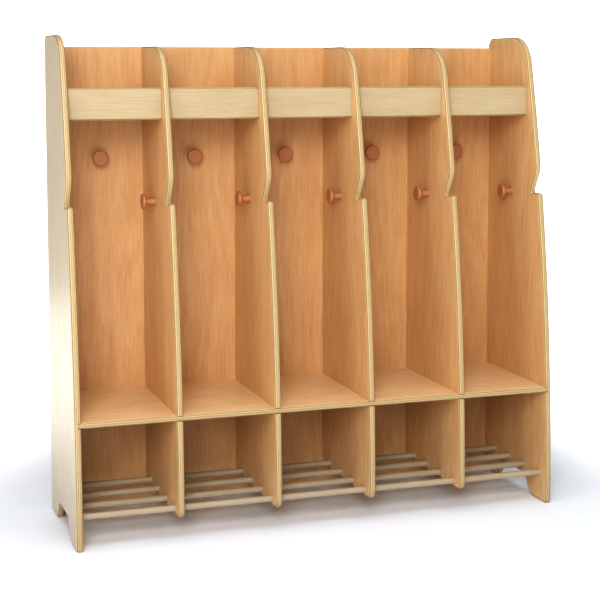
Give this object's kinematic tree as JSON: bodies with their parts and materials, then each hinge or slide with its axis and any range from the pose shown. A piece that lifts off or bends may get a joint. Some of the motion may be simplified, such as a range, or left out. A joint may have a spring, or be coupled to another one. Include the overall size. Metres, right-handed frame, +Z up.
{
  "type": "school coat locker",
  "caption": "Open birch-plywood coat locker with side-by-side coat sections, turned pegs, hat trays, a bench shelf and a tube shoe rack.",
  "frame": {"origin": "on the floor, at the middle of the width and of the depth", "axes": "+X to the right seen from the front, the open front faces -Y, +Z up"},
  "size_m": [1.219, 0.366, 1.188],
  "materials": {
    "birch_plywood": "clear lacquer, satin",
    "pale_birch": "clear lacquer, satin",
    "turned_birch": "clear lacquer, satin",
    "taupe_tube": "powder coat, satin",
    "dowel_birch": "raw",
    "zinc_screw": "zinc plated"
  },
  "bodies": {
    "root": {"left_end_panel": "birch_plywood", "right_end_panel": "birch_plywood", "back_panel": "birch_plywood", "bench_shelf": "birch_plywood", "upper_divider_1": "birch_plywood", "upper_divider_2": "birch_plywood", "upper_divider_3": "birch_plywood", "upper_divider_4": "birch_plywood", "lower_divider_1": "birch_plywood", "lower_divider_2": "birch_plywood", "lower_divider_3": "birch_plywood", "lower_divider_4": "birch_plywood", "hat_shelf_1": "birch_plywood", "hat_shelf_2": "birch_plywood", "hat_shelf_3": "birch_plywood", "hat_shelf_4": "birch_plywood", "hat_shelf_5": "birch_plywood", "hat_rail_1": "pale_birch", "hat_rail_2": "pale_birch", "hat_rail_3": "pale_birch", "hat_rail_4": "pale_birch", "hat_rail_5": "pale_birch", "back_peg_1": "turned_birch", "back_peg_2": "turned_birch", "back_peg_3": "turned_birch", "back_peg_4": "turned_birch", "back_peg_5": "turned_birch", "side_peg_1": "turned_birch", "side_peg_2": "turned_birch", "side_peg_3": "turned_birch", "side_peg_4": "turned_birch", "side_peg_5": "turned_birch", "shoe_tube_1": "taupe_tube", "shoe_tube_2": "taupe_tube", "shoe_tube_3": "taupe_tube", "shoe_tube_4": "taupe_tube", "divider_dowels": "dowel_birch", "rail_dowels": "dowel_birch", "back_screws": "zinc_screw"}
  },
  "joints": []
}
